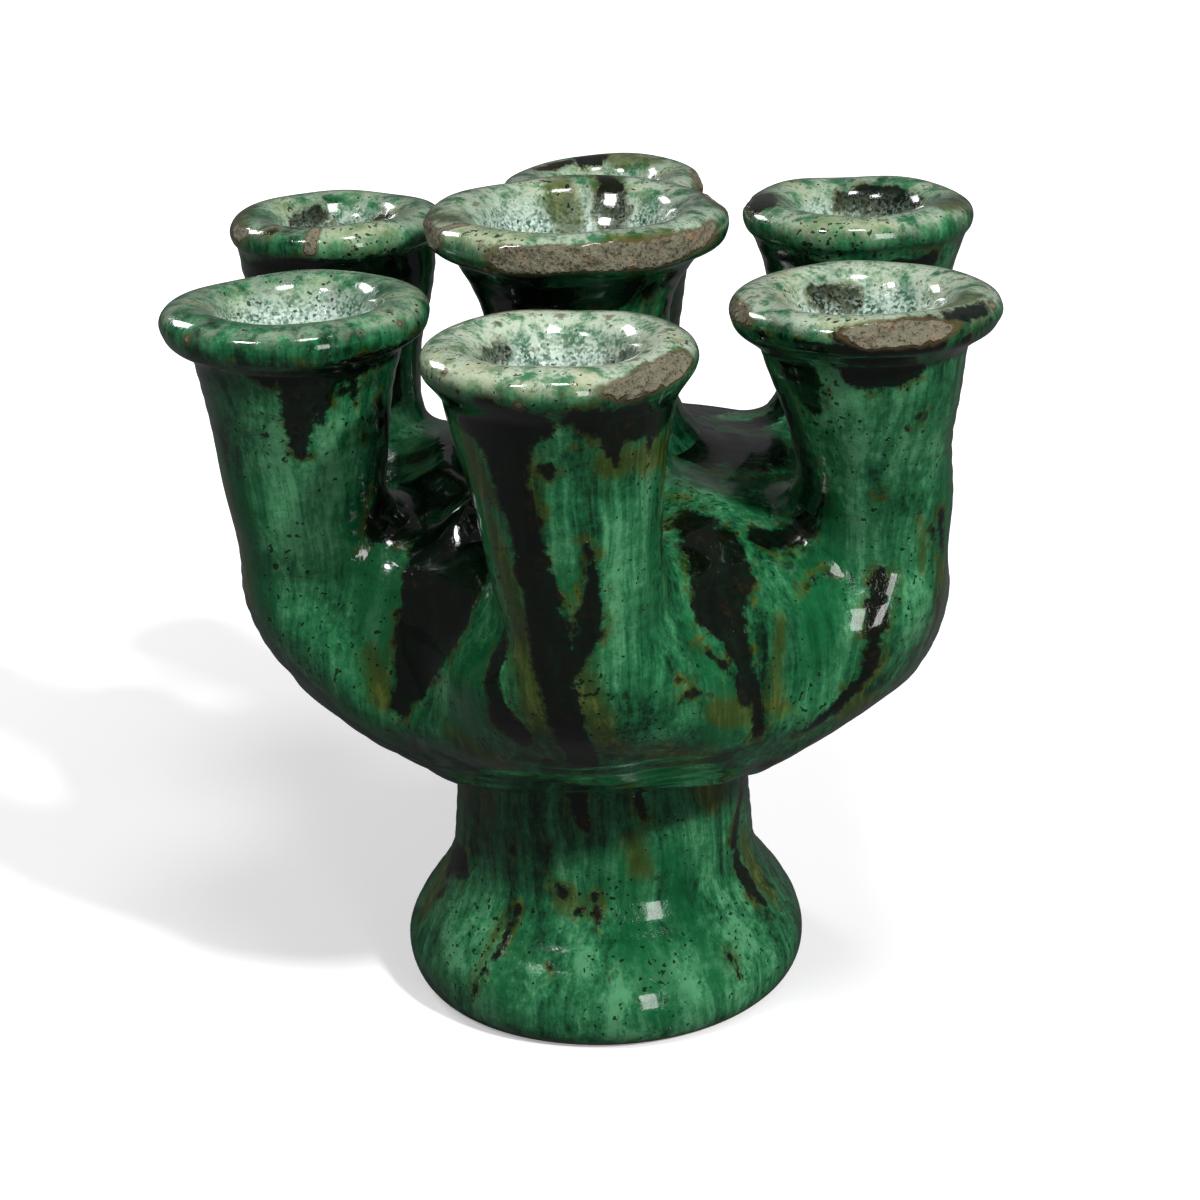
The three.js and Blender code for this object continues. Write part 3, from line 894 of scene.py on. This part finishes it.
def makeFoot():
    # A rounded standing edge, a flare r = neck + (rim - neck) (1 + cos(pi h)) / 2 and a neck
    # that tapers upwards, hollow all the way
    f = foot
    quarter = np.radians(np.linspace(0, 90, 12))
    edgeRadius = f["stand"] + (f["rim"] - f["stand"]) * np.sin(quarter)
    edge = np.stack([edgeRadius, f["rimHeight"] * (1 - np.cos(quarter))], 1)
    h = np.linspace(f["rimHeight"], f["height"], f["rows"])[1:]
    up = np.clip((h - f["rimHeight"]) / (f["flareHeight"] - f["rimHeight"]), 0, 1)
    neck = f["neck"] + f["taper"] * np.clip((f["height"] - h) / (f["height"] - f["flareHeight"]), 0, 1)
    radius = neck + (f["rim"] - neck) * (1 + np.cos(math.pi * up)) / 2
    outer = evenly(np.vstack([edge, np.stack([radius, h], 1)]), f["rows"])
    inner = spun(outer - [f["wall"], 0], f["columns"])
    outer = spun(outer, f["columns"])
    # The clay is even where the foot stands and where it joins the bowl
    z = outer[..., 2:]
    level = np.clip(z / f["evenBelow"], 0, 1) * np.clip((f["height"] - z) / f["evenAbove"], 0, 1)
    outer = outer + unevenness(outer)[..., None] * level * gridNormals(outer, False)
    return makeShell("foot", outer, gridNormals(outer, False), inner)


pieces = {"foot": makeFoot(), "bowl": makeBowl(), "shoulder": makeShoulder()}
for name in tubes:
    pieces[name] = makeSpout(name)
print("pieces:", {name: len(piece.data.polygons) for name, piece in pieces.items()})

# Colours as seen, in sRGB
colours = {
    "deep": "04170c", "green": "0a351c", "mid": "175634", "mint": "2b7046", "pale": "529468",
    "emerald": "04562d", "olive": "38430f", "oliveLight": "5a5c1e", "black": "040605", "brown": "1e1810",
    "rimPale": "b2c0ab", "rimCream": "b0b18a", "rimGreen": "3f7350", "rimBrown": "57482e",
    # The pale crystal colour is near-white: partly the crystals' own colour, partly painted glints
    "crystalDark": "3c5c52", "crystalPaleAndPaintedGlint": "cfe2d6",
    "clay": "75725f", "terracotta": "8c7460", "clayDark": "403b30",
}

# Sizes of the patterns in mm, and how wide the drawn-out ones are for their height
glaze = {
    "wander": 30.0, "wanderBy": 8.0, "drawnOut": 0.07,
    "streak": 7.0, "streakFine": 2.3, "hair": 0.8, "stray": 5.0,
    "cloud": 22.0, "patch": 6.0, "ragged": 3.2, "curd": 2.4, "pinhole": 1.5, "grain": 0.9, "crystal": 0.65,
    "relief": 0.35,
}


def linear(code):
    # An sRGB hex code as the linear colour that shader sockets take
    parts = [int(code[k:k + 2], 16) / 255 for k in (0, 2, 4)]
    return tuple(c / 12.92 if c <= 0.04045 else ((c + 0.055) / 1.055) ** 2.4 for c in parts) + (1.0,)


def add(tree, kind, *values, into=None, out=0, **settings):
    # Adds a node, sets it up, links or sets its inputs (the first ones, or those named by
    # into) and gives back one output
    made = tree.nodes.new("ShaderNode" + kind)
    for key, value in settings.items():
        setattr(made, key, value)
    for place, value in zip(into or range(len(values)), values):
        if isinstance(value, bpy.types.NodeSocket):
            tree.links.new(value, made.inputs[place])
        else:
            made.inputs[place].default_value = value
    return made.outputs[out]


# Settings of the nodes that come again and again
asNoise = {"into": ("Vector", "Scale", "Detail", "Roughness")}
asLayer = {"into": (0, 6, 7), "out": 2, "data_type": "RGBA"}
asBlend = {"into": (0, 2, 3), "data_type": "FLOAT"}
asStep = {"interpolation_type": "SMOOTHSTEP"}
times = {"operation": "MULTIPLY"}
timesPlus = {"operation": "MULTIPLY_ADD"}


def summed(tree, level, *shares):
    # A level plus a share of each pattern
    for pattern, share in shares:
        level = add(tree, "Math", pattern, share, level, **timesPlus)
    return level


def laidOver(tree, under, over, pattern, low, high, most=1.0):
    # One colour over another where a pattern rises from low to high, and a share of it at most
    mask = add(tree, "MapRange", pattern, low, high, 0.0, most, **asStep)
    return add(tree, "Mix", mask, under, over, **asLayer)


def makeGlaze():
    # Copper-green lead glaze over red earthenware, dipped and left to run, which gives the
    # eye glassy depth, streaks and sharp lights. Each layer below is a colour laid over the
    # ones before it by its own mask
    g = glaze
    shade = {name: linear(code) for name, code in colours.items()}
    material = bpy.data.materials.new("copperGreenGlaze")
    material.use_nodes = True
    tree = material.node_tree
    tree.nodes.clear()
    facts = {name: add(tree, "Attribute", out=2, attribute_name=name)
             for name in ("black", "olive", "mint", "emerald", "bare", "rim", "mouth")}
    here = add(tree, "VectorMath", add(tree, "TexCoord", out=3), (1000, 1000, 1000), **times)

    # Glaze runs straight down with a slight wander, so its streaks are drawn out
    wander = add(tree, "TexNoise", here, 1 / g["wander"], 1.0, into=("Vector", "Scale", "Detail"), out=1)
    wander = add(tree, "VectorMath", wander, (-0.5, -0.5, -0.5), operation="ADD")
    wandered = add(tree, "VectorMath", wander, (g["wanderBy"],) * 3, here, **timesPlus)
    drawn = add(tree, "VectorMath", wandered, (1, 1, g["drawnOut"]), **times)
    streak, streakFine, hair, stray = (
        add(tree, "TexNoise", drawn, 1 / g[name], detail, rough, **asNoise)
        for name, detail, rough in (("streak", 4, 0.62), ("streakFine", 3, 0.65), ("hair", 2, 0.6),
                                    ("stray", 4, 0.6)))
    cloud, patch, ragged, curd, pinhole, grain = (
        add(tree, "TexNoise", here, 1 / g[name], detail, rough, **asNoise)
        for name, detail, rough in (("cloud", 3, 0.6), ("patch", 4, 0.7), ("ragged", 3, 0.55),
                                    ("curd", 4, 0.65), ("pinhole", 1, 0.5), ("grain", 3, 0.7)))

    # Thick glaze is deep green, thin glaze is mint. The mint band low round the foot's front is also
    # painted light
    mint = add(tree, "MapRange", facts["mint"], -7.0, 4.0, **asStep)
    tone = summed(tree, -1.05, (streak, 1.0), (streakFine, 0.7), (hair, 0.3), (cloud, 0.62), (curd, 0.44),
                  (grain, 0.3), (mint, 0.16))
    colour = add(tree, "ValToRGB", tone)
    ramp = colour.node.color_ramp
    stops = [(0.32, "deep"), (0.46, "green"), (0.60, "mid"), (0.76, "mint"), (0.96, "pale")]
    while len(ramp.elements) < len(stops):
        ramp.elements.new(0.5)
    for element, (place, name) in zip(ramp.elements, stops):
        element.position = place
        element.color = shade[name]

    emerald = summed(tree, facts["emerald"], (ragged, 9.0))
    colour = laidOver(tree, colour, shade["emerald"], emerald, 1.0, 8.5, 0.7)

    # Rims are wiped thin by the fingers: grey-green and cream, with brown where the clay shows.
    # Each layer starts at one level of its pattern, is full at the next and covers a share
    rimLayers = [("rimPale", patch, 0.38, 0.55, 1.0), ("rimCream", cloud, 0.5, 0.64, 0.55),
                 ("rimGreen", curd, 0.54, 0.66, 0.8), ("rimBrown", patch, 0.57, 0.67, 0.75),
                 ("black", grain, 0.63, 0.7, 0.6)]
    rimColour = shade["rimGreen"]
    for name, pattern, low, high, most in rimLayers:
        rimColour = laidOver(tree, rimColour, shade[name], pattern, low, high, most)
    wiped = summed(tree, cloud, (patch, 0.7), (facts["rim"], 0.6))
    wiped = add(tree, "MapRange", wiped, 0.95, 1.45, **asStep)
    wiped = add(tree, "Math", facts["rim"], wiped, **times)
    colour = add(tree, "Mix", wiped, colour, rimColour, **asLayer)

    # Crystals grew in the pools of glaze in the mouths. Their pale cells are partly the crystals' own
    # colour and partly painted glints, near-white specks that stand in for light sparkling on them
    crystals = add(tree, "TexVoronoi", here, 1 / g["crystal"], into=("Vector", "Scale"), out="Color")
    crystal = add(tree, "SeparateColor", crystals)
    paleCrystalsAndGlints = summed(tree, crystal, (patch, 2.0))
    paleCrystalsAndGlints = add(tree, "MapRange", paleCrystalsAndGlints, 0.9, 1.9, **asStep)
    mouthCrystalsAndGlints = add(tree, "Mix", paleCrystalsAndGlints, shade["crystalDark"], shade["crystalPaleAndPaintedGlint"], **asLayer)
    pooled = add(tree, "Math", facts["mouth"], 0.85, **times)
    colour = add(tree, "Mix", pooled, colour, mouthCrystalsAndGlints, **asLayer)

    # Olive and yellow runs, and an olive seam round each black run
    black = summed(tree, -6.6, (facts["black"], 1.0), (patch, 5.0), (ragged, 3.5), (streakFine, 4.0))
    seam = add(tree, "MapRange", black, -2.8, -0.3, **asStep)
    broken = add(tree, "MapRange", patch, 0.44, 0.6, 0.0, 0.8, **asStep)
    seam = add(tree, "Math", seam, broken, **times)
    olive = summed(tree, -6.0, (facts["olive"], 1.0), (streak, 12.0))
    olive = add(tree, "MapRange", olive, -2.0, 2.5, 0.0, 0.8, **asStep)
    stray = add(tree, "MapRange", stray, 0.64, 0.76, 0.0, 0.35, **asStep)
    for layer in (seam, stray):
        olive = add(tree, "Math", olive, layer, operation="MAXIMUM")
    oliveColour = laidOver(tree, shade["olive"], shade["oliveLight"], streakFine, 0.48, 0.66)
    colour = add(tree, "Mix", olive, colour, oliveColour, **asLayer)

    # Black manganese runs, dull brown in places and broken in the mouths by the crystals and their painted
    # glints
    runs = add(tree, "MapRange", black, -0.7, 0.8, 0.0, 0.96, **asStep)
    speckled = add(tree, "Math", facts["mouth"], paleCrystalsAndGlints, **times)
    speckled = summed(tree, 1.0, (speckled, -0.55))
    runs = add(tree, "Math", runs, speckled, **times)
    blackColour = laidOver(tree, shade["black"], shade["brown"], patch, 0.55, 0.72)
    colour = add(tree, "Mix", runs, colour, blackColour, **asLayer)

    # Pinholes, where gas came through the melt, thickest where the glaze is cloudy
    holes = summed(tree, pinhole, (cloud, 0.5))
    holes = add(tree, "MapRange", holes, 0.965, 0.99, 0.0, 0.85, **asStep)
    colour = add(tree, "Mix", holes, colour, shade["black"], **asLayer)

    # Bare broken clay, with a brown edge of thin glaze
    chipped = summed(tree, -0.45, (facts["bare"], 1.0), (curd, 0.9))
    edge = add(tree, "MapRange", chipped, -1.1, -0.2, 0.0, 0.8, **asStep)
    bare = add(tree, "MapRange", chipped, -0.15, 0.15, **asStep)
    clay = shade["clay"]
    for pattern, low, high, name in ((patch, 0.52, 0.7, "terracotta"), (grain, 0.5, 0.66, "clayDark")):
        clay = laidOver(tree, clay, shade[name], pattern, low, high)
    colour = add(tree, "Mix", edge, colour, shade["rimBrown"], **asLayer)
    colour = add(tree, "Mix", bare, colour, clay, **asLayer)

    # Glass-smooth where it is black and thick, a little duller where it is thin
    rough = add(tree, "MapRange", grain, 0.3, 0.7, 0.07, 0.18)
    rough = add(tree, "Mix", runs, rough, 0.06, **asBlend)
    rough = add(tree, "Mix", bare, rough, 0.6, **asBlend)

    # Runs stand proud, pinholes are sunk, and broken clay and crystals are rough
    brokenGrain = add(tree, "Math", bare, grain, **times)
    sharp = add(tree, "Math", facts["mouth"], crystal, **times)
    relief = summed(tree, 0.0, (streak, 0.5), (patch, 0.9), (holes, -0.8), (runs, 0.5), (curd, 0.25),
                    (brokenGrain, 2.0), (sharp, 0.25))
    bump = add(tree, "Bump", relief, g["relief"] * metresPerMm, 1.0,
               into=("Height", "Distance", "Strength"))

    # The glaze shines like a clear coat, which bare clay has none of
    coat = add(tree, "Math", 1.0, bare, operation="SUBTRACT")
    surface = add(tree, "BsdfPrincipled", colour, rough, bump, coat, 0.05, 1.5, 1.52, 0.25,
                  into=("Base Color", "Roughness", "Normal", "Coat Weight", "Coat Roughness", "Coat IOR",
                        "IOR", "Specular IOR Level"))
    out = tree.nodes.new("ShaderNodeOutputMaterial")
    tree.links.new(surface, out.inputs["Surface"])
    return material


glazed = makeGlaze()
print("glaze made")

for name, piece in pieces.items():
    piece.data.materials.append(glazed)
    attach(piece, "root")
    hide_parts(name)

# The room. The camera was fitted to the photo's outlines: its place in mm, and its turn to the
# left, downward tilt and roll in degrees. Light levels are shares of full white
studio = {
    "floorSize": 6.0, "floorNear": 0.29, "floorFar": 0.6, "glowFrom": 0.2, "glowTo": 0.7,
    "lens": 78.0, "sensor": 36.0, "place": (46.6, -618.2, 345.0), "turn": 4.2, "down": 21.4, "roll": -1.83,
    "sky": 0.14, "room": 0.08, "sunAngle": 5.0, "aim": (0, 0, 0.1),
}


def addFloor():
    # A matt white sheet, white to the camera as lit paper is, but dim in the glaze and on the
    # undersides, which gives the eye a bright ground with soft shadows. It glows more far away
    mesh = bpy.data.meshes.new("floor")
    s = studio["floorSize"]
    mesh.from_pydata([(-s, -s, 0), (s, -s, 0), (s, s, 0), (-s, s, 0)], [], [(0, 1, 2, 3)])
    floor = bpy.data.objects.new("floor", mesh)
    bpy.context.scene.collection.objects.link(floor)
    paint = bpy.data.materials.new("whiteFloor")
    paint.use_nodes = True
    tree = paint.node_tree
    shader = tree.nodes["Principled BSDF"]
    seen = add(tree, "LightPath")
    white = add(tree, "Mix", seen, (0.06, 0.06, 0.06, 1), (0.8, 0.8, 0.8, 1), **asLayer)
    tree.links.new(white, shader.inputs["Base Color"])
    shader.inputs["Roughness"].default_value = 0.9
    shader.inputs["Specular IOR Level"].default_value = 0.0
    shader.inputs["Emission Color"].default_value = (1, 1, 1, 1)
    distance = add(tree, "VectorMath", add(tree, "TexCoord", out=3), operation="LENGTH", out=1)
    glow = add(tree, "MapRange", distance, studio["glowFrom"], studio["glowTo"], studio["floorNear"],
               studio["floorFar"])
    glow = add(tree, "Math", seen, glow, **times)
    tree.links.new(glow, shader.inputs["Emission Strength"])
    floor.data.materials.append(paint)


def addLamp(name, place, power, size=None):
    # An area lamp of the given size in metres, or without one the sun, which isn't mirrored
    # because the glaze would only show it as a flare
    lamp = bpy.data.lights.new(name, "AREA" if size else "SUN")
    lamp.energy = power
    if size:
        lamp.shape = "RECTANGLE"
        lamp.size, lamp.size_y = size
    else:
        lamp.angle = math.radians(studio["sunAngle"])
    thing = bpy.data.objects.new(name, lamp)
    thing.visible_glossy = size is not None
    bpy.context.scene.collection.objects.link(thing)
    thing.location = place
    thing.rotation_mode = "QUATERNION"
    thing.rotation_quaternion = (Vector(studio["aim"]) - Vector(place)).to_track_quat("-Z", "Y")


def addCamera():
    # Looks along (-sin turn cos down, cos turn cos down, -sin down), rolled about that line
    turn, down, roll = (math.radians(studio[key]) for key in ("turn", "down", "roll"))
    level = math.cos(down)
    forward = Vector((-math.sin(turn) * level, math.cos(turn) * level, -math.sin(down)))
    right = Vector((math.cos(turn), math.sin(turn), 0))
    up = right.cross(forward)
    sideways = math.cos(roll) * right + math.sin(roll) * up
    upright = -math.sin(roll) * right + math.cos(roll) * up
    data = bpy.data.cameras.new("camera")
    data.lens = studio["lens"]
    data.sensor_width = studio["sensor"]
    camera = bpy.data.objects.new("camera", data)
    bpy.context.scene.collection.objects.link(camera)
    place = Matrix.Translation(Vector(studio["place"]) * metresPerMm)
    camera.matrix_world = place @ Matrix((sideways, upright, -forward)).transposed().to_4x4()
    bpy.context.scene.camera = camera


def addWorld():
    # White behind everything, a soft sky over matt surfaces, and a dim room in reflections
    world = bpy.data.worlds.new("room")
    bpy.context.scene.world = world
    world.use_nodes = True
    tree = world.node_tree
    background = tree.nodes["Background"]
    background.inputs["Color"].default_value = (1, 1, 1, 1)
    seen = add(tree, "LightPath")
    mirrored = add(tree, "LightPath", out=3)
    level = add(tree, "Mix", mirrored, studio["sky"], studio["room"], **asBlend)
    level = add(tree, "Mix", seen, level, 1.0, **asBlend)
    tree.links.new(level, background.inputs["Strength"])


addFloor()
addLamp("sun", (0.64, -0.57, 0.84), 2.7)
addLamp("ceiling", (0.15, -0.5, 1.4), 5.5, (0.3, 0.3))
addLamp("fill", (-0.7, -0.7, 1.25), 6.5, (0.2, 0.2))
addLamp("skylight", (-0.9, 0.75, 0.9), 5.0, (0.4, 0.4))
addLamp("window", (0.72, -1.25, 0.42), 3.4, (0.26, 0.6))
addCamera()
addWorld()
bpy.context.scene.view_settings.view_transform = "Standard"
print("room lit")
